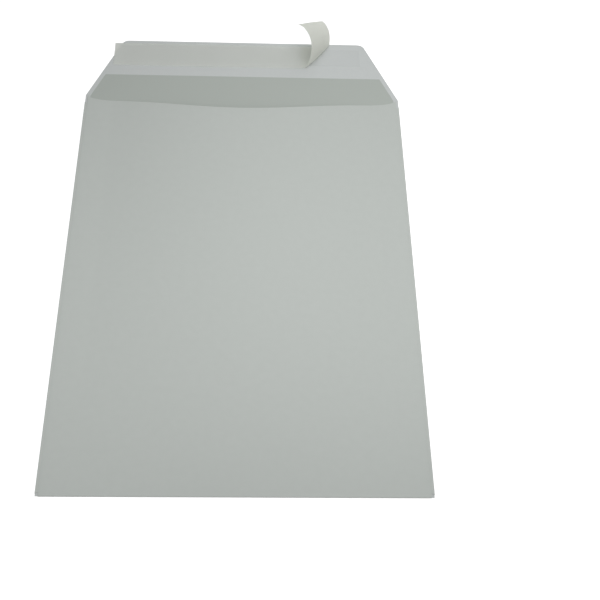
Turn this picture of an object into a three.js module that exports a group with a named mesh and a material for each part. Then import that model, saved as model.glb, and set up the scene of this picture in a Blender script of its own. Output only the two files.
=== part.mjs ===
// A C4 peel and seal pocket envelope, in millimetres.
// It lies face down with its flap open: the front panel is on the table at z = 0, the flap points to +Y,
// and the origin is the centre of the front panel's underside.

import * as THREE from "three";

// The folded envelope and its paper
const bodyWidth = 229;
const bodyHeight = 324;
const paperThickness = 0.15;

// The seal flap beyond the crease
const flapDepth = 60;
const flapTopWidth = 181;
const flapCornerCut = 4.2; // from the flap's sharp corner to where its rounding starts
const creaseGap = 0.3; // room for the fold between the front panel and the flap

// The two seam flaps, folded in from the front panel's long sides
const seamFlapWidth = 20;
const seamEndTaper = 10; // how much shorter the seam flap's free edge is, at each end
const seamEndSetback = 2; // from the ends of the side folds to the ends of the pocket
const innerFoldGap = 0.1; // air between the front panel and a seam flap folded on it

// The glue lines between the seam flaps and the back panel
const glueWidth = 10;
const glueThickness = 0.05;
const glueEndMargin = 8; // bare paper past each end of a glue line

// The back panel, folded up from the bottom over the seam flaps
const panelInset = 2; // from each side fold to the panel's cut edge
const shoulderDrop = 4.8; // how far the panel's top edge lies below the crease, next to its corners
const shoulderRun = 16; // width of the rounded shoulder at each end of the top edge
const thumbCutDepth = 11.5; // the dip in the top edge, over the panel's whole width
const mouthBow = 6; // how far the panel stands off at the middle of the open mouth
const bowRoundness = 1.25;

// The adhesive band on the inner face of the flap
const adhesiveLength = 176;
const adhesiveWidth = 18;
const adhesiveThickness = 0.05;
const adhesiveFromCrease = 36;

// The release liner over the band, peeled back at its right end
const linerOverhang = 9; // liner past the left end of the band, to lift it by; its right end is flush
const linerMargin = 3; // liner past each long edge of the band
const linerThickness = 0.08;
const linerClearance = 0.02;
const peeledLength = 42.1; // loose liner, along the edge nearer the crease
const peelAngle = 53.4; // the line where the liner lets go, in degrees from the liner's length
const stubLength = 1; // flat liner that moves with the loose end, ahead of the peel line
const stubGap = 0.3;
const foldBackAngle = 97.3; // how far the loose end is bent over at the peel line
const foldBackRadius = 1.8;
const curlAngle = 76.2; // direction of the slower curl's axis, in degrees from the liner's length
const curlSpan = 20.498; // liner past the peel line over which the slower curl turns by half a radian

// Heights of the layers
const seamFlapBase = paperThickness + innerFoldGap;
const glueBase = seamFlapBase + paperThickness;
const backPanelBase = glueBase + glueThickness;
const linerBase = paperThickness + adhesiveThickness + linerClearance;

// Outline values that several pieces share
const halfWidth = bodyWidth / 2;
const halfHeight = bodyHeight / 2;
const creaseY = halfHeight;
const sideFoldRadius = seamFlapBase / 2; // of the middle of the paper, as for the bottom fold
const bottomFoldRadius = backPanelBase / 2;
const sideFoldX = halfWidth - sideFoldRadius - paperThickness / 2;
const bottomFoldY = -halfHeight + bottomFoldRadius + paperThickness / 2;
const pocketHalfWidth = halfWidth - seamFlapWidth; // between the seam flaps' free edges
const linerWidth = adhesiveWidth + 2 * linerMargin;
const linerLowY = creaseY + adhesiveFromCrease - linerMargin;
const linerLeftX = -adhesiveLength / 2 - linerOverhang;
const linerRightX = adhesiveLength / 2;
const peelLowX = linerRightX - peeledLength;

const rad = THREE.MathUtils.degToRad;

// Numbers from first to last in equal steps
function steps(first, last, count) {
  return Array.from({ length: count + 1 }, (_, i) => first + ((last - first) * i) / count);
}

// A closed sheet of paper: pointAt(u, v) is the middle of its thickness, and its upper face looks
// along the cross product of the u and v directions
function sheet(us, vs, pointAt, thickness) {
  const nudge = 1e-3;
  const columns = us.length;
  const rows = vs.length;
  const faces = { lower: [], upper: [] };
  for (const v of vs) {
    for (const u of us) {
      const alongU = pointAt(u + nudge, v).sub(pointAt(u - nudge, v));
      const alongV = pointAt(u, v + nudge).sub(pointAt(u, v - nudge));
      const offset = alongU.cross(alongV).setLength(thickness / 2);
      faces.lower.push(pointAt(u, v).sub(offset));
      faces.upper.push(pointAt(u, v).add(offset));
    }
  }
  const vertices = [...faces.lower, ...faces.upper];
  const above = columns * rows;
  const at = (column, row) => row * columns + column;
  const index = [];
  const quad = (a, b, c, d) => index.push(a, b, c, a, c, d);
  for (let row = 0; row < rows - 1; row++) {
    for (let column = 0; column < columns - 1; column++) {
      const a = at(column, row);
      const b = at(column + 1, row);
      const c = at(column + 1, row + 1);
      const d = at(column, row + 1);
      quad(a, d, c, b);
      quad(above + a, above + b, above + c, above + d);
    }
  }
  const wall = (a, b) => quad(a, b, above + b, above + a);
  for (let column = 0; column < columns - 1; column++) {
    wall(at(column, 0), at(column + 1, 0));
    wall(at(column + 1, rows - 1), at(column, rows - 1));
  }
  for (let row = 0; row < rows - 1; row++) {
    wall(at(columns - 1, row), at(columns - 1, row + 1));
    wall(at(0, row + 1), at(0, row));
  }
  const geometry = new THREE.BufferGeometry().setFromPoints(vertices);
  geometry.setIndex(index);
  geometry.computeVertexNormals();
  return geometry;
}

// A flat rectangle of the given size with its lowest corner at x, y, z
function slab(x, y, z, width, height, thickness) {
  const box = new THREE.BoxGeometry(width, height, thickness);
  return box.translate(x + width / 2, y + height / 2, z + thickness / 2);
}

const envelope = new THREE.Group();
envelope.name = "peel_and_seal_envelope";

function add(name, geometry, color, roughness) {
  const material = new THREE.MeshStandardMaterial({ color, roughness, metalness: 0 });
  const mesh = new THREE.Mesh(geometry, material);
  mesh.name = name;
  envelope.add(mesh);
}

const paperColour = 0xc1c6c2;
const paperRoughness = 0.85;

function addPaper(name, geometry) {
  add(name, geometry, paperColour, paperRoughness);
}

// Front panel: a plain rectangle between the two side folds, the bottom fold and the crease
function frontPanel() {
  const top = creaseY - creaseGap / 2;
  return slab(-sideFoldX, bottomFoldY, 0, 2 * sideFoldX, top - bottomFoldY, paperThickness);
}

// Seam flap: round the side fold, then flat over the front panel. side is 1 at the right, -1 at the left
function seamFlap(side) {
  const middle = seamFlapBase / 2 + paperThickness / 2;
  const foldLowY = -halfHeight + seamEndSetback;
  const foldHighY = creaseY - shoulderDrop - seamEndSetback;
  const freeX = pocketHalfWidth;
  const pointAt = (u, v) => {
    const turn = Math.PI * (Math.min(v, 0) + 0.5);
    const inward = Math.max(v, 0) * (sideFoldX - freeX);
    const x = sideFoldX + (v < 0 ? sideFoldRadius * Math.cos(turn) : 0) - inward;
    const z = v < 0 ? middle + sideFoldRadius * Math.sin(turn) : middle + sideFoldRadius;
    const taper = Math.max(v, 0) * seamEndTaper;
    const low = foldLowY + taper;
    const high = foldHighY - taper;
    const y = (low + high) / 2 + side * (u - 0.5) * (high - low);
    return new THREE.Vector3(side * x, y, z);
  };
  const foldSteps = 6;
  return sheet([0, 1], [...steps(-1, 0, foldSteps), 1], pointAt, paperThickness);
}

// Glue line: midway across the part of a seam flap that the back panel covers
function seamGlue(side) {
  const panelEdge = halfWidth - panelInset;
  const centre = (side * (pocketHalfWidth + panelEdge)) / 2;
  const low = -halfHeight + seamEndSetback + seamEndTaper + glueEndMargin;
  const high = creaseY - shoulderDrop - seamEndSetback - seamEndTaper - glueEndMargin;
  return slab(centre - glueWidth / 2, low, glueBase, glueWidth, high - low, glueThickness);
}

// How far the back panel's top edge lies below the crease at x
function throatDepth(x) {
  const edge = halfWidth - panelInset;
  const shoulder = Math.min(Math.max((edge - Math.abs(x)) / shoulderRun, 0), 1);
  const drop = shoulderDrop * Math.sqrt(1 - (1 - shoulder) ** 2);
  const across = Math.min(Math.abs(x) / edge, 1);
  return drop + (thumbCutDepth * (1 + Math.cos(Math.PI * across))) / 2;
}

// How far the back panel stands off its flat place
function bow(x, y) {
  const across = Math.min(Math.abs(x) / pocketHalfWidth, 1);
  const down = Math.min(Math.max((creaseY - y) / bodyHeight, 0), 1);
  return mouthBow * (1 - across ** 2) ** bowRoundness * (1 - down ** 3);
}

// Back panel: round the bottom fold, then up to the cut top edge, flat on the glue lines and bowed between
function backPanel() {
  const edge = halfWidth - panelInset;
  const middle = (backPanelBase + paperThickness) / 2;
  const pointAt = (x, v) => {
    if (v < 0) {
      const turn = Math.PI * (v + 0.5);
      const y = bottomFoldY - bottomFoldRadius * Math.cos(turn);
      return new THREE.Vector3(x, y, middle + bottomFoldRadius * Math.sin(turn));
    }
    const top = creaseY - throatDepth(x);
    const y = bottomFoldY + v * (top - bottomFoldY);
    return new THREE.Vector3(x, y, middle + bottomFoldRadius + bow(x, y));
  };
  const shoulderSteps = 5;
  const bowSteps = 22;
  const foldSteps = 6;
  const rowSteps = 12;
  const leastColumn = 0.1;
  // Columns bunch up in each rounded shoulder, where the top edge climbs fastest
  const turns = steps(0, Math.PI / 2, shoulderSteps);
  const shoulder = turns.map((turn) => edge - shoulderRun * (1 - Math.cos(turn)));
  const bowed = steps(-pocketHalfWidth, pocketHalfWidth, bowSteps);
  const columns = [...shoulder, ...shoulder.map((x) => -x), ...bowed]
    .sort((a, b) => a - b)
    .filter((x, i, all) => i === 0 || x - all[i - 1] > leastColumn);
  const rows = [...steps(-1, 0, foldSteps), ...steps(0, 1, rowSteps).slice(1)];
  return sheet(columns, rows, pointAt, paperThickness);
}

// Seal flap: a trapezium with rounded outer corners
function sealFlap() {
  const low = creaseY + creaseGap / 2;
  const high = creaseY + flapDepth;
  const topHalf = flapTopWidth / 2;
  const slant = new THREE.Vector2(halfWidth - topHalf, -flapDepth).setLength(flapCornerCut);
  const lowHalf = halfWidth - ((halfWidth - topHalf) * creaseGap) / 2 / flapDepth;
  const outline = new THREE.Shape();
  outline.moveTo(-lowHalf, low);
  outline.lineTo(lowHalf, low);
  outline.lineTo(topHalf + slant.x, high + slant.y);
  outline.quadraticCurveTo(topHalf, high, topHalf - flapCornerCut, high);
  outline.lineTo(-topHalf + flapCornerCut, high);
  outline.quadraticCurveTo(-topHalf, high, -topHalf - slant.x, high + slant.y);
  outline.closePath();
  return new THREE.ExtrudeGeometry(outline, {
    depth: paperThickness,
    bevelEnabled: false,
    curveSegments: 8,
  });
}

// Adhesive band: centred on the flap, flat on its inner face
function adhesiveStrip() {
  const low = creaseY + adhesiveFromCrease;
  return slab(-adhesiveLength / 2, low, paperThickness, adhesiveLength, adhesiveWidth, adhesiveThickness);
}

// Bonded liner: from its left end, which overhangs the flap, to where the loose end begins
function linerBonded() {
  const length = peelLowX - stubLength - stubGap - linerLeftX;
  return slab(linerLeftX, linerLowY, linerBase, length, linerWidth, linerThickness);
}

// The x of the peel line at a distance up the liner's width
function peelX(across) {
  return peelLowX + across / Math.tan(rad(peelAngle));
}

// The curl as a spiral: how far a stretch of the given length reaches, and how far its end is raised
function curlReach(length) {
  const chords = 20;
  const reach = { along: 0, raised: 0 };
  for (const place of steps(0.5 / chords, 1 - 0.5 / chords, chords - 1)) {
    const distance = place * length;
    const angle = (distance / curlSpan) ** 2 / 2;
    reach.along += (Math.cos(angle) * length) / chords;
    reach.raised += (Math.sin(angle) * length) / chords;
  }
  return reach;
}

// A point of the loose liner: x and across place it on the flat liner, and it is then curled and bent back
function looseLinerPoint(x, across) {
  const curl = rad(curlAngle);
  const pastCurl = Math.max((x - peelLowX) * Math.sin(curl) - across * Math.cos(curl), 0);
  const { along, raised } = curlReach(pastCurl);
  const drawnIn = pastCurl - along;
  const flatX = x - drawnIn * Math.sin(curl) - peelLowX;
  const flatY = across + drawnIn * Math.cos(curl);

  const peel = rad(peelAngle);
  const alongPeel = flatX * Math.cos(peel) + flatY * Math.sin(peel);
  const pastPeel = flatX * Math.sin(peel) - flatY * Math.cos(peel);
  const bent = Math.min(Math.max(pastPeel, 0) / foldBackRadius, rad(foldBackAngle));
  const straight = pastPeel - foldBackRadius * bent;
  const out = foldBackRadius * Math.sin(bent) + straight * Math.cos(bent) - raised * Math.sin(bent);
  const up = foldBackRadius * (1 - Math.cos(bent)) + straight * Math.sin(bent) + raised * Math.cos(bent);
  return new THREE.Vector3(
    peelLowX + alongPeel * Math.cos(peel) + out * Math.sin(peel),
    linerLowY + alongPeel * Math.sin(peel) - out * Math.cos(peel),
    linerBase + linerThickness / 2 + up,
  );
}

// Loose liner: a flat stub, the bend at the peel line, and the curled end
function linerTail() {
  const bendRun = (foldBackRadius * rad(foldBackAngle)) / Math.sin(rad(peelAngle));
  // v runs across the liner; u is 0 to 1 over the stub, 1 to 2 over the bend and 2 to 3 over the rest
  const pointAt = (u, v) => {
    const across = v * linerWidth;
    const start = peelX(across);
    const bendEnd = start + bendRun;
    const stubX = peelLowX - stubLength;
    if (u < 1) {
      return looseLinerPoint(stubX + u * (start - stubX), across);
    }
    if (u < 2) {
      return looseLinerPoint(start + (u - 1) * bendRun, across);
    }
    return looseLinerPoint(bendEnd + (u - 2) * (linerRightX - bendEnd), across);
  };
  const bendSteps = 9;
  const curlSteps = 10;
  const us = [0, ...steps(1, 2, bendSteps), ...steps(2, 3, curlSteps).slice(1)];
  return sheet(us, steps(0, 1, 7), pointAt, linerThickness);
}

addPaper("front_panel", frontPanel());
addPaper("left_seam_flap", seamFlap(-1));
addPaper("right_seam_flap", seamFlap(1));
add("left_seam_glue", seamGlue(-1), 0xcfc9b8, 0.5);
add("right_seam_glue", seamGlue(1), 0xcfc9b8, 0.5);
addPaper("back_panel", backPanel());
addPaper("seal_flap", sealFlap());
add("adhesive_strip", adhesiveStrip(), 0xc4c9c9, 0.35);
add("liner_bonded", linerBonded(), 0xc0c4bc, 0.45);
add("liner_tail", linerTail(), 0xc0c4bc, 0.45);

export default envelope;
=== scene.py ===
# A C4 peel and seal pocket envelope, face down, with its flap open and its release liner peeled back.
# Shapes are worked out in millimetres and become metres where a mesh is placed.
import math

import bmesh
import bpy
from mathutils import Matrix, Vector


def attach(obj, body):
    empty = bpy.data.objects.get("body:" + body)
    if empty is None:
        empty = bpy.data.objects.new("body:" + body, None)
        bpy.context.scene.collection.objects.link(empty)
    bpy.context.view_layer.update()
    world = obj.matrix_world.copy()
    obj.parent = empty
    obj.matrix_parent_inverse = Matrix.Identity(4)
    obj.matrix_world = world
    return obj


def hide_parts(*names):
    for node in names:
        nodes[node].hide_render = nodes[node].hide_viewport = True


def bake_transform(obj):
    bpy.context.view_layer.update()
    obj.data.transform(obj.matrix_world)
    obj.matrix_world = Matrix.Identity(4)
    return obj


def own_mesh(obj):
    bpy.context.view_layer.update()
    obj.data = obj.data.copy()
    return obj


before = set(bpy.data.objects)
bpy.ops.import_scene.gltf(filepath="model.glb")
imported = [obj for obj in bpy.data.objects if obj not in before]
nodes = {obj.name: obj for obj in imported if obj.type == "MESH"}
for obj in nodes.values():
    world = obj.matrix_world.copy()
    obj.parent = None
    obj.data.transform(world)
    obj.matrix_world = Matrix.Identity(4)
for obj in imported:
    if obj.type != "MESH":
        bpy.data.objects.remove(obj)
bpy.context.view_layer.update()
mm = 0.001
print("frame loaded,", len(nodes), "nodes")


# Small helpers

def clamp(value, low=0.0, high=1.0):
    return min(max(value, low), high)


def spread(first, last, count):
    return [first + (last - first) * i / count for i in range(count + 1)]


def joined(*parts):
    # Lists of rising numbers, end to end, with each shared end kept once
    line = list(parts[0])
    for part in parts[1:]:
        line += part[1:]
    return line


def fromHex(text):
    # An sRGB colour as the linear values that the shaders take
    channels = [int(text[i : i + 2], 16) / 255 for i in (1, 3, 5)]
    linear = [c / 12.92 if c <= 0.04045 else ((c + 0.055) / 1.055) ** 2.4 for c in channels]
    return (*linear, 1)


def perMetre(size):
    # The scale of a noise whose features are size millimetres wide
    return 1 / (size * mm)


# The paper that the whole blank is cut from

paper = {
    "thickness": 0.15,
    "halfWidth": 114.5,  # of the folded envelope
    "height": 324.0,
    "crease": 162.0,  # where the flap starts
}
paperMiddle = paper["thickness"] / 2


# Materials

def newMaterial(name):
    material = bpy.data.materials.new(name)
    material.use_nodes = True
    material.node_tree.nodes.clear()
    return material


def addNode(tree, kind, settings=None, inputs=None):
    # One node, with its own settings, and each input either linked from a socket or given a value
    node = tree.nodes.new("ShaderNode" + kind)
    for name, value in (settings or {}).items():
        setattr(node, name, value)
    for name, value in (inputs or {}).items():
        if isinstance(value, bpy.types.NodeSocket):
            tree.links.new(value, node.inputs[name])
        else:
            node.inputs[name].default_value = value
    return node


paperLook = {
    "plain": ("#C0C5C1", "#C4C9C5"),  # thin and thick places of the sheet, as seen from outside
    "inner": ("#C8CCCB", "#CCD0CF"),  # the bare inner face is a little brighter and cooler: partly the sheet's two sides differing, partly painted light for the open flap catching more light
    "tint": ("#B1B7B2", "#B5BBB5"),  # the grey ink printed over it
    "cut": ("#CDD1CD", "#D2D6D2"),  # cut edges are drawn paler than the faces: a painted highlight for the light the thin edge catches
    "cloudSize": 5.0,  # the flocs that show when paper is held to the light
    "fibreSize": 0.5,  # real fibres are 0.03 wide, too fine to show, so a bundle of them
    "fibreStretch": 3.0,  # fibres lie along the paper machine's run
    "fibreDepth": 0.012,
    "cockleSize": 55.0,
    "cockleDepth": 0.5,
    "roughness": 0.78,
    "specular": 0.3,  # the air between the fibres breaks up most of the gloss
}

tintZone = {
    "top": 184.7,  # where the tint ends on the flap
    "halfWidth": 110.9,  # bare margin of 3.6 mm inside the folds
    "slant": 0.4,  # the tint's ends follow the flap's slanted edges
    "softness": 0.35,  # ink spread at the print's edge
    "wobble": 0.15,  # how far that edge strays
    "wobbleSize": 1.5,
    "grain": 0.9,  # mottle of the ink, in mm
}


def wovePaper(name, tones, tinted=False):
    # Wove paper from a wire mould, calendered smooth: matt and even, faintly cloudy, with a fine tooth.
    # The tint is flexographic ink, which sinks in: it stays matt, with a slightly soft edge
    material = newMaterial(name)
    tree = material.node_tree
    blank = addNode(tree, "UVMap", {"uv_map": "blankMap"})
    cloud = addNode(tree, "TexNoise", inputs={
        "Vector": blank.outputs["UV"],
        "Scale": perMetre(paperLook["cloudSize"]),
        "Detail": 3.0,
    })
    sheetTone = addNode(tree, "Mix", {"data_type": "RGBA"}, {
        0: cloud.outputs[0],
        6: fromHex(tones[0]),
        7: fromHex(tones[1]),
    })
    tone = sheetTone.outputs[2]
    if tinted:
        grain = addNode(tree, "TexNoise", inputs={
            "Vector": blank.outputs["UV"],
            "Scale": perMetre(tintZone["grain"]),
            "Detail": 2.0,
        })
        ink = addNode(tree, "Mix", {"data_type": "RGBA"}, {
            0: grain.outputs[0],
            6: fromHex(paperLook["tint"][0]),
            7: fromHex(paperLook["tint"][1]),
        })
        tone = addNode(tree, "Mix", {"data_type": "RGBA"}, {
            0: tintMask(tree, blank.outputs["UV"]),
            6: tone,
            7: ink.outputs[2],
        }).outputs[2]
    along = addNode(tree, "Mapping", inputs={
        "Vector": blank.outputs["UV"],
        "Scale": (1.0, 1 / paperLook["fibreStretch"], 1.0),
    })
    fibre = addNode(tree, "TexNoise", inputs={
        "Vector": along.outputs[0],
        "Scale": perMetre(paperLook["fibreSize"]),
        "Detail": 4.0,
    })
    cockle = addNode(tree, "TexNoise", inputs={
        "Vector": blank.outputs["UV"],
        "Scale": perMetre(paperLook["cockleSize"]),
        "Detail": 1.0,
    })
    wave = addNode(tree, "Bump", inputs={
        "Height": cockle.outputs[0],
        "Distance": paperLook["cockleDepth"] * mm,
    })
    tooth = addNode(tree, "Bump", inputs={
        "Height": fibre.outputs[0],
        "Distance": paperLook["fibreDepth"] * mm,
        "Normal": wave.outputs[0],
    })
    surface = addNode(tree, "BsdfPrincipled", inputs={
        "Base Color": tone,
        "Roughness": paperLook["roughness"],
        "Specular IOR Level": paperLook["specular"],
        "Normal": tooth.outputs[0],
    })
    addNode(tree, "OutputMaterial", inputs={"Surface": surface.outputs[0]})
    return material


def tintMask(tree, blank):
    # 1 where the ink is: below its top line on the flap, and inside its margin along the folds and slants
    place = addNode(tree, "SeparateXYZ", inputs={0: blank})
    wobble = addNode(tree, "TexNoise", inputs={
        "Vector": blank,
        "Scale": perMetre(tintZone["wobbleSize"]),
        "Detail": 1.0,
    })
    shift = addNode(tree, "MapRange", inputs={
        "Value": wobble.outputs[0],
        "To Min": -tintZone["wobble"] * mm,
        "To Max": tintZone["wobble"] * mm,
    })
    past = addNode(tree, "Math", {"operation": "SUBTRACT"}, {0: place.outputs["Y"], 1: paper["crease"] * mm})
    above = addNode(tree, "Math", {"operation": "MAXIMUM"}, {0: past.outputs[0], 1: 0.0})
    side = addNode(tree, "Math", {"operation": "ABSOLUTE"}, {0: place.outputs["X"]})
    reach = addNode(tree, "Math", {"operation": "MULTIPLY_ADD"}, {
        0: above.outputs[0],
        1: tintZone["slant"],
        2: side.outputs[0],
    })
    limits = []
    for value, limit in ((reach.outputs[0], tintZone["halfWidth"]), (place.outputs["Y"], tintZone["top"])):
        moved = addNode(tree, "Math", {"operation": "ADD"}, {0: value, 1: shift.outputs[0]})
        soft = addNode(tree, "MapRange", {"interpolation_type": "SMOOTHSTEP"}, {
            "Value": moved.outputs[0],
            "From Min": (limit - tintZone["softness"] / 2) * mm,
            "From Max": (limit + tintZone["softness"] / 2) * mm,
            "To Min": 1.0,
            "To Max": 0.0,
        })
        limits.append(soft.outputs[0])
    return addNode(tree, "Math", {"operation": "MULTIPLY"}, {0: limits[0], 1: limits[1]}).outputs[0]


linerLook = {
    "back": ("#FBFCFA", "#FDFEFC"),  # the fibres take up almost no light: the grey comes from what passes
    "release": ("#FAFBF6", "#FCFDF8"),  # the silicone takes up a little light and yellows it
    "fleckSize": 1.4,  # cloudy look-through of the beaten fibres
    "rippleSize": 3.0,  # cross ripples left by the slitting and winding
    "rippleStretch": 9.0,
    "rippleDepth": 0.02,
    "backRoughness": 0.42,
    "releaseRoughness": 0.34,
    "passed": 0.73,  # share of the light that each face scatters through, not back
}


def glassineFace(name, tones, roughness):
    # Glassine, supercalendered: thin and translucent, with a soft sheen, which silicone makes stronger
    material = newMaterial(name)
    tree = material.node_tree
    strip = addNode(tree, "UVMap", {"uv_map": "blankMap"})
    fleck = addNode(tree, "TexNoise", inputs={
        "Vector": strip.outputs["UV"],
        "Scale": perMetre(linerLook["fleckSize"]),
        "Detail": 3.0,
    })
    tone = addNode(tree, "Mix", {"data_type": "RGBA"}, {
        0: fleck.outputs[0],
        6: fromHex(tones[0]),
        7: fromHex(tones[1]),
    })
    across = addNode(tree, "Mapping", inputs={
        "Vector": strip.outputs["UV"],
        "Scale": (1.0, 1 / linerLook["rippleStretch"], 1.0),
    })
    ripple = addNode(tree, "TexNoise", inputs={
        "Vector": across.outputs[0],
        "Scale": perMetre(linerLook["rippleSize"]),
        "Detail": 1.0,
    })
    wave = addNode(tree, "Bump", inputs={
        "Height": ripple.outputs[0],
        "Distance": linerLook["rippleDepth"] * mm,
    })
    surface = addNode(tree, "BsdfPrincipled", inputs={
        "Base Color": tone.outputs[2],
        "Roughness": roughness,
        "Normal": wave.outputs[0],
    })
    glow = addNode(tree, "BsdfTranslucent", inputs={"Color": tone.outputs[2], "Normal": wave.outputs[0]})
    sheet = addNode(tree, "MixShader", inputs={
        0: linerLook["passed"],
        1: surface.outputs[0],
        2: glow.outputs[0],
    })
    addNode(tree, "OutputMaterial", inputs={"Surface": sheet.outputs[0]})
    return material


adhesiveLook = {
    "tones": ("#C2C6C5", "#C4C8C7"),
    "streakSize": 0.8,  # coating streaks along the flap
    "streakStretch": 14.0,
    "streakDepth": 0.003,
    "roughness": (0.3, 0.36),
}


def pressureSensitiveAdhesive():
    # Rubber adhesive, slot coated: clear over the paper, smooth and slightly glossy, with faint long streaks
    material = newMaterial("pressureSensitiveAdhesive")
    tree = material.node_tree
    band = addNode(tree, "UVMap", {"uv_map": "blankMap"})
    along = addNode(tree, "Mapping", inputs={
        "Vector": band.outputs["UV"],
        "Scale": (1 / adhesiveLook["streakStretch"], 1.0, 1.0),
    })
    streak = addNode(tree, "TexNoise", inputs={
        "Vector": along.outputs[0],
        "Scale": perMetre(adhesiveLook["streakSize"]),
        "Detail": 2.0,
    })
    tone = addNode(tree, "Mix", {"data_type": "RGBA"}, {
        0: streak.outputs[0],
        6: fromHex(adhesiveLook["tones"][0]),
        7: fromHex(adhesiveLook["tones"][1]),
    })
    gloss = addNode(tree, "MapRange", inputs={
        "Value": streak.outputs[0],
        "To Min": adhesiveLook["roughness"][0],
        "To Max": adhesiveLook["roughness"][1],
    })
    wave = addNode(tree, "Bump", inputs={
        "Height": streak.outputs[0],
        "Distance": adhesiveLook["streakDepth"] * mm,
    })
    surface = addNode(tree, "BsdfPrincipled", inputs={
        "Base Color": tone.outputs[2],
        "Roughness": gloss.outputs[0],
        "Normal": wave.outputs[0],
    })
    addNode(tree, "OutputMaterial", inputs={"Surface": surface.outputs[0]})
    return material


gumLook = {
    "tones": ("#C9C3B1", "#D3CDBE"),
    "beadSize": 2.2,
    "beadDepth": 0.03,
    "roughness": 0.5,
}


def driedSeamGum():
    # Dextrin seam gum, dried between two papers: cream, dull, and puckered where it drew in
    material = newMaterial("driedSeamGum")
    tree = material.node_tree
    place = addNode(tree, "TexCoord")
    bead = addNode(tree, "TexNoise", inputs={
        "Vector": place.outputs["Object"],
        "Scale": perMetre(gumLook["beadSize"]),
        "Detail": 3.0,
    })
    tone = addNode(tree, "Mix", {"data_type": "RGBA"}, {
        0: bead.outputs[0],
        6: fromHex(gumLook["tones"][0]),
        7: fromHex(gumLook["tones"][1]),
    })
    pucker = addNode(tree, "Bump", inputs={
        "Height": bead.outputs[0],
        "Distance": gumLook["beadDepth"] * mm,
    })
    surface = addNode(tree, "BsdfPrincipled", inputs={
        "Base Color": tone.outputs[2],
        "Roughness": gumLook["roughness"],
        "Normal": pucker.outputs[0],
    })
    addNode(tree, "OutputMaterial", inputs={"Surface": surface.outputs[0]})
    return material


outerPaper = wovePaper("woveOuterFace", paperLook["plain"])
innerPaper = wovePaper("woveInnerFaceTinted", paperLook["inner"], tinted=True)
# The cut edges' paler tone is a painted highlight, not a colour of the paper
litCutEdgePaper = wovePaper("woveCutEdgeHighlight", paperLook["cut"])
glassineBack = glassineFace("supercalenderedGlassine", linerLook["back"], linerLook["backRoughness"])
glassineRelease = glassineFace("siliconisedGlassine", linerLook["release"], linerLook["releaseRoughness"])
adhesive = pressureSensitiveAdhesive()
gum = driedSeamGum()
print("materials made,", len(bpy.data.materials))


# Sheets

def placedGrid(name, columns, rows, placeAt, blankAt):
    # A grid whose lines are spaced by columns and rows and placed by placeAt. blankAt gives each point's
    # place on the flat, unfolded sheet, which becomes the UV map, so that patterns run on round the folds
    lastColumn = len(columns) - 1
    lastRow = len(rows) - 1
    bm = bmesh.new()
    blankMap = bm.loops.layers.uv.new("blankMap")
    bmesh.ops.create_grid(bm, x_segments=lastColumn, y_segments=lastRow, size=1)
    flat = {}
    for vert in bm.verts:
        u = columns[round((vert.co.x + 1) / 2 * lastColumn)]
        v = rows[round((vert.co.y + 1) / 2 * lastRow)]
        vert.co = Vector(placeAt(u, v)) * mm
        flat[vert] = Vector(blankAt(u, v)) * mm
    for face in bm.faces:
        face.smooth = True
        for loop in face.loops:
            loop[blankMap].uv = flat[loop.vert]
    for edge in bm.edges:
        edge.smooth = not edge.is_boundary  # keeps the faces' shading clear of the thin cut edge
    mesh = bpy.data.meshes.new(name)
    bm.to_mesh(mesh)
    bm.free()
    piece = bpy.data.objects.new(name, mesh)
    bpy.context.scene.collection.objects.link(piece)
    return piece


def thicken(piece, thickness, upper, lower, edge):
    # Gives a sheet its thickness about its middle: upper is the material of the side its faces look to
    for material in (upper, lower, edge):
        piece.data.materials.append(material)
    solid = piece.modifiers.new("thickness", "SOLIDIFY")
    solid.thickness = thickness * mm
    solid.offset = 0
    solid.use_even_offset = True
    solid.use_quality_normals = True
    solid.material_offset = 1
    solid.material_offset_rim = 2


# Front panel: flat on the table, from the bottom fold to the start of the crease

frontPanel = {
    "foldX": 114.3,  # where the side folds start
    "low": -161.7,  # where the bottom fold starts
    "high": 161.1,
    "columns": 48,
    "rows": 64,
}


def makeFrontSheet():
    piece = placedGrid(
        "front_sheet",
        spread(-frontPanel["foldX"], frontPanel["foldX"], frontPanel["columns"]),
        spread(frontPanel["low"], frontPanel["high"], frontPanel["rows"]),
        lambda x, y: (x, y, paperMiddle),
        lambda x, y: (x, y),
    )
    thicken(piece, paper["thickness"], innerPaper, outerPaper, litCutEdgePaper)
    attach(piece, "pocket")
    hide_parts("front_panel")


# Seam flaps: round each side fold and flat on the front panel, under the back panel

seamFlap = {
    "foldRadius": 0.125,
    "freeX": 94.5,
    "low": -160.0,
    "high": 155.2,
    "taper": 10.0,  # how much shorter the free edge is, at each end
    "foldSteps": 12,
    "flatSteps": 8,
    "lengthSteps": 60,
}


def makeSeamSheet(name, side, node):
    radius = seamFlap["foldRadius"]
    middle = paperMiddle + radius

    def along(u, v):
        taper = max(v, 0) * seamFlap["taper"]
        low = seamFlap["low"] + taper
        high = seamFlap["high"] - taper
        return (low + high) / 2 + side * (u - 0.5) * (high - low)

    def placeAt(u, v):
        if v < 0:
            turn = math.pi * (v + 0.5)
            x = frontPanel["foldX"] + radius * math.cos(turn)
            return side * x, along(u, v), middle + radius * math.sin(turn)
        x = frontPanel["foldX"] + v * (seamFlap["freeX"] - frontPanel["foldX"])
        return side * x, along(u, v), middle + radius

    def blankAt(u, v):
        past = math.pi * radius * min(v + 1, 1) + max(v, 0) * (frontPanel["foldX"] - seamFlap["freeX"])
        return side * (frontPanel["foldX"] + past), along(u, v)

    columns = spread(0, 1, seamFlap["lengthSteps"])
    rows = joined(spread(-1, 0, seamFlap["foldSteps"]), spread(0, 1, seamFlap["flatSteps"]))
    piece = placedGrid(name, columns, rows, placeAt, blankAt)
    thicken(piece, paper["thickness"], outerPaper, innerPaper, litCutEdgePaper)
    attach(piece, "pocket")
    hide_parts(node)


# Back panel: from the bottom fold up to the curved throat, flat over the seams and bowed at the mouth

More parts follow.
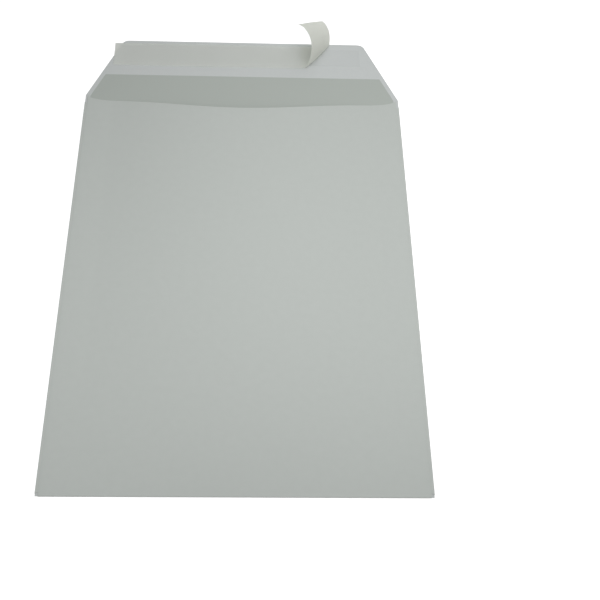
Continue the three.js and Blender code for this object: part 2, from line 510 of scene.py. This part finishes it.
backPanel = {
    "halfWidth": 112.5,
    "foldRadius": 0.225,
    "shoulderDrop": 4.8,
    "shoulderRun": 16.0,
    "thumbCutDepth": 11.5,
    "bowHalfWidth": 94.5,
    "bowHeight": 6.0,
    "bowRoundness": 1.25,
    "bowFade": 3,  # the bow dies away towards the bottom fold, slowly at first
    "pressedShare": 0.03,  # how much of the bow is left when the flap is closed on it
    "foldSteps": 14,
    "shoulderSteps": 14,
    "middleSteps": 110,
    "rows": 150,
}
backPanelMiddle = paperMiddle + 2 * backPanel["foldRadius"]


def throatDepth(x):
    fromEnd = backPanel["halfWidth"] - abs(x)
    shoulder = clamp(fromEnd / backPanel["shoulderRun"])
    drop = backPanel["shoulderDrop"] * math.sqrt(1 - (1 - shoulder) ** 2)
    across = min(abs(x) / backPanel["halfWidth"], 1)
    return drop + backPanel["thumbCutDepth"] * (1 + math.cos(math.pi * across)) / 2


def bow(x, y):
    across = min(abs(x) / backPanel["bowHalfWidth"], 1)
    down = clamp((paper["crease"] - y) / paper["height"])
    arch = (1 - across**2) ** backPanel["bowRoundness"]
    return backPanel["bowHeight"] * arch * (1 - down ** backPanel["bowFade"])


def backColumns():
    # Closer together in each rounded shoulder, where the throat climbs fastest
    edge = backPanel["halfWidth"]
    turns = spread(0, math.pi / 2, backPanel["shoulderSteps"])
    shoulder = [edge - backPanel["shoulderRun"] * (1 - math.cos(turn)) for turn in reversed(turns)]
    inner = shoulder[0]
    middle = spread(-inner, inner, backPanel["middleSteps"])
    return joined([-x for x in reversed(shoulder)], middle, shoulder)


def makeBottomFold():
    radius = backPanel["foldRadius"]
    low = frontPanel["low"]

    def placeAt(x, v):
        turn = math.pi * (v + 0.5)
        return x, low - radius * math.cos(turn), paperMiddle + radius + radius * math.sin(turn)

    piece = placedGrid(
        "bottom_fold",
        backColumns(),
        spread(-1, 0, backPanel["foldSteps"]),
        placeAt,
        lambda x, v: (x, low - math.pi * radius * (v + 1)),
    )
    thicken(piece, paper["thickness"], outerPaper, innerPaper, litCutEdgePaper)
    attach(piece, "pocket")
    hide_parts("back_panel")


def makeBackSheet():
    low = frontPanel["low"]
    foldLength = math.pi * backPanel["foldRadius"]

    def alongAt(x, v):
        return low + v * (paper["crease"] - throatDepth(x) - low)

    def placeAt(x, v):
        y = alongAt(x, v)
        return x, y, backPanelMiddle + bow(x, y)

    piece = placedGrid(
        "back_sheet",
        backColumns(),
        spread(0, 1, backPanel["rows"]),
        placeAt,
        lambda x, v: (x, low - foldLength - (alongAt(x, v) - low)),
    )
    thicken(piece, paper["thickness"], outerPaper, innerPaper, litCutEdgePaper)
    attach(piece, "pocket")
    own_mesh(piece)
    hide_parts("back_panel")


# Seal flap: from the crease to its rounded outer corners, lying open and flat

sealFlap = {
    "depth": 60.0,
    "topHalfWidth": 90.5,
    "cornerCut": 4.2,
    "wrapLow": 161.1,  # the rows lie close together between these, over the crease
    "wrapHigh": 162.9,
    "columns": 60,
    "wrapSteps": 18,
    "flatSteps": 30,
    "cornerSteps": 14,
}


def flapHalfWidth(y):
    top = paper["crease"] + sealFlap["depth"]
    run = paper["halfWidth"] - sealFlap["topHalfWidth"]
    length = math.hypot(run, sealFlap["depth"])
    cutDown = sealFlap["cornerCut"] * sealFlap["depth"] / length
    cutOut = sealFlap["cornerCut"] * run / length
    if y < paper["crease"]:
        return frontPanel["foldX"]
    if y < top - cutDown:
        return paper["halfWidth"] - run * (y - paper["crease"]) / sealFlap["depth"]
    # A quadratic curve round the corner, from the slant to the outer edge
    reach = sealFlap["topHalfWidth"]
    left = math.sqrt(max(top - y, 0) / cutDown)
    fromSlant = left**2 * (reach + cutOut)
    fromCorner = 2 * left * (1 - left) * reach
    return fromSlant + fromCorner + (1 - left) ** 2 * (reach - sealFlap["cornerCut"])


def makeFlapSheet():
    top = paper["crease"] + sealFlap["depth"]
    cornerLow = top - sealFlap["cornerCut"]
    corner = [top - (top - cornerLow) * (1 - t) ** 2 for t in spread(0, 1, sealFlap["cornerSteps"])]
    rows = joined(
        spread(sealFlap["wrapLow"], sealFlap["wrapHigh"], sealFlap["wrapSteps"]),
        spread(sealFlap["wrapHigh"], cornerLow, sealFlap["flatSteps"]),
        corner,
    )
    piece = placedGrid(
        "flap_sheet",
        spread(-1, 1, sealFlap["columns"]),
        rows,
        lambda u, y: (u * flapHalfWidth(y), y, paperMiddle),
        lambda u, y: (u * flapHalfWidth(y), y),
    )
    thicken(piece, paper["thickness"], innerPaper, outerPaper, litCutEdgePaper)
    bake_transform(piece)
    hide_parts("seal_flap")


# Adhesive band: coated on the flap's inner face, with slightly uneven ends and edges

adhesiveBand = {
    "halfLength": 88.0,
    "low": 198.0,
    "width": 18.0,
    "thickness": 0.05,
    "waver": 0.25,  # how far its outline is drawn in, at most
    "endWaves": (37, 2, 11),
    "edgeWaves": (61, 3, 17),
    "columns": 240,
    "rows": 24,
}


def drawnIn(place, waves):
    # The waver only draws the film in, so that it stays in its node's place
    quick, drift, slow = waves
    return adhesiveBand["waver"] * (0.5 + 0.5 * math.sin(quick * place + drift * math.sin(slow * place)))


def makeAdhesiveFilm():
    thickness = adhesiveBand["thickness"]

    def placeAt(u, v):
        endIn = drawnIn(v, adhesiveBand["endWaves"])
        edgeIn = drawnIn(u, adhesiveBand["edgeWaves"])
        x = u * (adhesiveBand["halfLength"] - endIn)
        half = adhesiveBand["width"] / 2
        y = adhesiveBand["low"] + half + (2 * v - 1) * (half - edgeIn)
        return x, y, paper["thickness"] + thickness / 2

    piece = placedGrid(
        "adhesive_film",
        spread(-1, 1, adhesiveBand["columns"]),
        spread(0, 1, adhesiveBand["rows"]),
        placeAt,
        lambda u, v: placeAt(u, v)[:2],
    )
    thicken(piece, thickness, adhesive, adhesive, adhesive)
    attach(piece, "flap")
    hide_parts("adhesive_strip")


# Release liner: the part still bonded, then the loose end, folded back at the peel line and curled

releaseLiner = {
    "leftX": -97.0,
    "rightX": 88.0,
    "low": 195.0,
    "width": 24.0,
    "base": 0.22,
    "thickness": 0.08,
    "peelLowX": 45.9,  # where the straight peel line meets the edge nearer the crease
    "peelAngle": 53.4,  # of that line, from the liner's length
    "stubX": 43.0,  # where the strip ends and the loose liner starts, a little short of the peel line
    "tipReach": 2.3,  # how far the peel line's low end runs ahead, where the edge lifts first
    "tipRun": 3.0,  # across the liner, over which that lead dies away
    "tipFade": 4.0,  # past the peel line, over which the edge comes back in line
    "foldBackAngle": 97.3,
    "foldBackRadius": 1.8,
    "curlAngle": 76.2,  # of the slower curl's axis, from the liner's length
    "curlSpan": 20.498,  # past the peel line, over which the slower curl turns by half a radian
    "twist": (-1.1, 0.5),  # how far the low and high edges are drawn sideways, towards the free end
    "twistFrom": (20.0, 4.0),  # how far past the peel line each edge's draw starts
    "twistRun": (16.0, 10.0),  # and the length over which it grows to its full reach
    "peelTravel": 139.0,
    "pressedShare": 0.01,  # how much of the curl's height is left under the closed flap
    "curlChords": 20,
    "stripSteps": 140,
    "stubSteps": 14,
    "bendSteps": 40,
    "curlSteps": 50,
    "stripRows": 24,
    "curlRows": 32,
}
linerMiddle = releaseLiner["base"] + releaseLiner["thickness"] / 2


def makeLinerStrip():
    piece = placedGrid(
        "liner_strip",
        spread(releaseLiner["leftX"], releaseLiner["stubX"], releaseLiner["stripSteps"]),
        spread(0, releaseLiner["width"], releaseLiner["stripRows"]),
        lambda x, across: (x, releaseLiner["low"] + across, linerMiddle),
        lambda x, across: (x, releaseLiner["low"] + across),
    )
    thicken(piece, releaseLiner["thickness"], glassineBack, glassineBack, glassineBack)
    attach(piece, "flap")
    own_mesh(piece)
    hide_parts("liner_bonded")


def curlReach(length):
    # A spiral as summed chords: how far a stretch of the liner reaches, and how far its end is raised
    chords = releaseLiner["curlChords"]
    along = raised = 0.0
    for i in range(chords):
        distance = (i + 0.5) / chords * length
        angle = (distance / releaseLiner["curlSpan"]) ** 2 / 2
        along += math.cos(angle) * length / chords
        raised += math.sin(angle) * length / chords
    return along, raised


def tipLead(across):
    # How far the peel runs ahead of its straight line
    return releaseLiner["tipReach"] * math.exp(-across / releaseLiner["tipRun"])


def peelStart(across):
    # The x at which the liner lets go: on a slanted line, whose low end runs ahead
    peel = math.radians(releaseLiner["peelAngle"])
    return releaseLiner["peelLowX"] + across / math.tan(peel) - tipLead(across)


def twistAt(past, across):
    # How far the loose liner is drawn sideways: each edge by its own amount, the middle by less
    share = across / releaseLiner["width"]
    drawn = []
    for reach, start, run in zip(releaseLiner["twist"], releaseLiner["twistFrom"], releaseLiner["twistRun"]):
        rise = clamp((past - start) / run)
        drawn.append(reach * rise**2 * (3 - 2 * rise))
    return (1 - share) ** 2 * drawn[0] + share**2 * drawn[1]


def looseLinerPoint(x, across):
    # x and across place a point on the flat liner, which is then curled and bent back
    curl = math.radians(releaseLiner["curlAngle"])
    peel = math.radians(releaseLiner["peelAngle"])
    radius = releaseLiner["foldBackRadius"]
    past = max(x - peelStart(across), 0)
    lead = tipLead(across) * math.exp(-past / releaseLiner["tipFade"])
    fromPeel = x - releaseLiner["peelLowX"] + lead
    pastCurl = max(fromPeel * math.sin(curl) - across * math.cos(curl), 0)
    along, raised = curlReach(pastCurl)
    shortened = pastCurl - along
    flatX = fromPeel - shortened * math.sin(curl)
    flatY = across + shortened * math.cos(curl)
    alongPeel = flatX * math.cos(peel) + flatY * math.sin(peel)
    pastPeel = flatX * math.sin(peel) - flatY * math.cos(peel)
    bent = min(max(pastPeel, 0) / radius, math.radians(releaseLiner["foldBackAngle"]))
    straight = pastPeel - radius * bent
    out = radius * math.sin(bent) + straight * math.cos(bent) - raised * math.sin(bent)
    up = radius * (1 - math.cos(bent)) + straight * math.sin(bent) + raised * math.cos(bent)
    sideways = twistAt(past, across) - lead
    return (
        releaseLiner["peelLowX"] + alongPeel * math.cos(peel) + out * math.sin(peel) + sideways,
        releaseLiner["low"] + alongPeel * math.sin(peel) - out * math.cos(peel),
        linerMiddle + up,
    )


def makeLinerCurl():
    peel = math.radians(releaseLiner["peelAngle"])
    bendRun = releaseLiner["foldBackRadius"] * math.radians(releaseLiner["foldBackAngle"]) / math.sin(peel)

    def flatX(u, across):
        # u is 0 to 1 up to the peel line, 1 to 2 over the bend and 2 to 3 over the rest
        start = peelStart(across)
        bendEnd = start + bendRun
        if u < 1:
            return releaseLiner["stubX"] + u * (start - releaseLiner["stubX"])
        if u < 2:
            return start + (u - 1) * bendRun
        return bendEnd + (u - 2) * (releaseLiner["rightX"] - bendEnd)

    columns = joined(
        spread(0, 1, releaseLiner["stubSteps"]),
        spread(1, 2, releaseLiner["bendSteps"]),
        spread(2, 3, releaseLiner["curlSteps"]),
    )
    piece = placedGrid(
        "liner_curl",
        columns,
        spread(0, releaseLiner["width"], releaseLiner["curlRows"]),
        lambda u, across: looseLinerPoint(flatX(u, across), across),
        lambda u, across: (flatX(u, across), releaseLiner["low"] + across),
    )
    thicken(piece, releaseLiner["thickness"], glassineBack, glassineRelease, glassineBack)
    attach(piece, "loose_liner")
    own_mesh(piece)
    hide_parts("liner_tail")


makeFrontSheet()
makeSeamSheet("left_seam_sheet", -1, "left_seam_flap")
makeSeamSheet("right_seam_sheet", 1, "right_seam_flap")
makeBottomFold()
makeBackSheet()
makeFlapSheet()
print("paper folded")
makeAdhesiveFilm()
makeLinerStrip()
makeLinerCurl()
for name in ("left_seam_glue", "right_seam_glue"):
    nodes[name].data.materials.clear()
    nodes[name].data.materials.append(gum)
print("adhesive, liner and gum made")


# Stage: floor, lamps and camera, in metres

stage = {
    "floorTone": "#E7E7E7",
    "floorSize": 4.0,
    "floorDrop": 0.0001,  # keeps it clear of the envelope's underside
    "nearGlow": 0.62,  # the floor's own white near the envelope, low enough to keep a shadow
    "nearRadius": 0.25,
    "farRadius": 0.7,
    "ambient": 0.29,
}


def seenDirectly(tree):
    # 1 for a ray from the camera or from a gloss or glass, which see the white background, and 0 for light
    # that is scattered, also where it goes through the liner
    path = addNode(tree, "LightPath")
    first = addNode(tree, "Math", {"operation": "MAXIMUM"}, {
        0: path.outputs["Is Camera Ray"],
        1: path.outputs["Is Glossy Ray"],
    })
    either = addNode(tree, "Math", {"operation": "MAXIMUM"}, {
        0: first.outputs[0],
        1: path.outputs["Is Transmission Ray"],
    })
    return addNode(tree, "Math", {"operation": "SUBTRACT", "use_clamp": True}, {
        0: either.outputs[0],
        1: path.outputs["Is Diffuse Ray"],
    }).outputs[0]


def makeFloor():
    bm = bmesh.new()
    bmesh.ops.create_grid(bm, x_segments=1, y_segments=1, size=stage["floorSize"] / 2)
    bmesh.ops.translate(bm, verts=bm.verts, vec=(0, 0, -stage["floorDrop"]))
    mesh = bpy.data.meshes.new("floor")
    bm.to_mesh(mesh)
    bm.free()
    floor = bpy.data.objects.new("floor", mesh)
    bpy.context.scene.collection.objects.link(floor)
    material = newMaterial("paleStudioFloor")
    tree = material.node_tree
    place = addNode(tree, "TexCoord")
    away = addNode(tree, "VectorMath", {"operation": "LENGTH"}, {0: place.outputs["Object"]})
    glow = addNode(tree, "MapRange", {"interpolation_type": "SMOOTHSTEP"}, {
        "Value": away.outputs["Value"],
        "From Min": stage["nearRadius"],
        "From Max": stage["farRadius"],
        "To Min": stage["nearGlow"],
        "To Max": 1.0,
    })
    strength = addNode(tree, "Math", {"operation": "MULTIPLY"}, {0: glow.outputs[0], 1: seenDirectly(tree)})
    lit = addNode(tree, "BsdfDiffuse", inputs={"Color": fromHex(stage["floorTone"])})
    own = addNode(tree, "Emission", inputs={"Color": (1, 1, 1, 1), "Strength": strength.outputs[0]})
    both = addNode(tree, "AddShader", inputs={0: lit.outputs[0], 1: own.outputs[0]})
    addNode(tree, "OutputMaterial", inputs={"Surface": both.outputs[0]})
    mesh.materials.append(material)


def makeWorld():
    world = bpy.data.worlds.new("whiteStudio")
    world.use_nodes = True
    bpy.context.scene.world = world
    tree = world.node_tree
    tree.nodes.clear()
    ambient = addNode(tree, "Background", inputs={"Color": (1, 1, 1, 1), "Strength": stage["ambient"]})
    white = addNode(tree, "Background", inputs={"Color": (1, 1, 1, 1), "Strength": 1.0})
    either = addNode(tree, "MixShader", inputs={
        0: seenDirectly(tree),
        1: ambient.outputs[0],
        2: white.outputs[0],
    })
    addNode(tree, "OutputWorld", inputs={"Surface": either.outputs[0]})


lamps = {
    "aim": (0.020, 0.030, 0.0),
    "size": 0.35,
    "unmirrored": "farLamp",  # a broad fill, with no image of its own in the gloss
    "each": {
        "overheadLamp": {"place": (0.121, -0.016, 0.28), "watts": 0.491},
        "leftLamp": {"place": (-0.200, -0.079, 0.28), "watts": 0.294},
        "farLamp": {"place": (0.143, 0.379, 0.28), "watts": 0.482},
    },
}


def makeLamp(name, look):
    light = bpy.data.lights.new(name, "AREA")
    light.shape = "SQUARE"
    light.size = lamps["size"]
    light.energy = look["watts"]
    lamp = bpy.data.objects.new(name, light)
    bpy.context.scene.collection.objects.link(lamp)
    lamp.location = look["place"]
    way = Vector(lamps["aim"]) - Vector(look["place"])
    lamp.rotation_mode = "QUATERNION"
    lamp.rotation_quaternion = way.to_track_quat("-Z", "Y")
    lamp.visible_camera = False
    lamp.visible_glossy = name != lamps["unmirrored"]


# The camera as fitted to the photo: where it stands and its own three axes
photoCamera = {
    "place": (0.005811, -0.474782, 0.614908),
    "right": (0.998998, -0.016658, 0.041544),
    "up": (-0.011249, 0.804931, 0.593261),
    "back": (-0.043323, -0.593134, 0.803937),
    "lens": 71.32,
    "sensor": 36.0,
    "clipStart": 0.01,
}


def makeCamera():
    data = bpy.data.cameras.new("photoCamera")
    data.lens = photoCamera["lens"]
    data.sensor_width = photoCamera["sensor"]
    data.clip_start = photoCamera["clipStart"]
    camera = bpy.data.objects.new("photoCamera", data)
    bpy.context.scene.collection.objects.link(camera)
    turn = Matrix([photoCamera["right"], photoCamera["up"], photoCamera["back"]]).transposed()
    camera.matrix_world = Matrix.Translation(photoCamera["place"]) @ turn.to_4x4()
    bpy.context.scene.camera = camera


makeFloor()
makeWorld()
for name, look in lamps["each"].items():
    makeLamp(name, look)
makeCamera()
bpy.context.scene.view_settings.view_transform = "Standard"
print("stage set")
